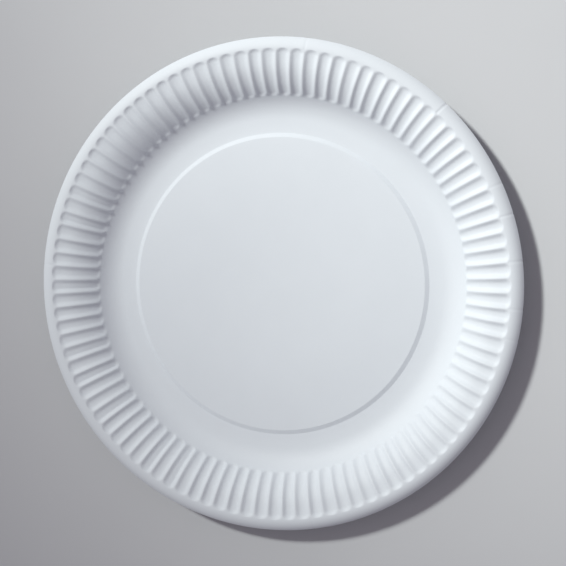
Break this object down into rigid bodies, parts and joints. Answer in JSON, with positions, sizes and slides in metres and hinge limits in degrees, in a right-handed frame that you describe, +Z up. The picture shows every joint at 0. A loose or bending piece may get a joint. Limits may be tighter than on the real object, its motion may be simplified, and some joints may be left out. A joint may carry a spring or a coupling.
{
  "type": "paper plate",
  "caption": "Round pressed-paper plate with a raised flat centre, a sloping fluted rim and an edge rolled over outward, for serving food.",
  "frame": {"origin": "centre of the foot ring, on the surface that the plate lies on", "axes": "+Z up out of the dish along the plate's axis; the plate is round, so X and Y are free"},
  "size_m": [0.23, 0.23, 0.0147],
  "materials": {
    "paper": "pressed white paperboard, smooth and matt"
  },
  "bodies": {
    "root": {"plate": "paper"}
  },
  "joints": []
}
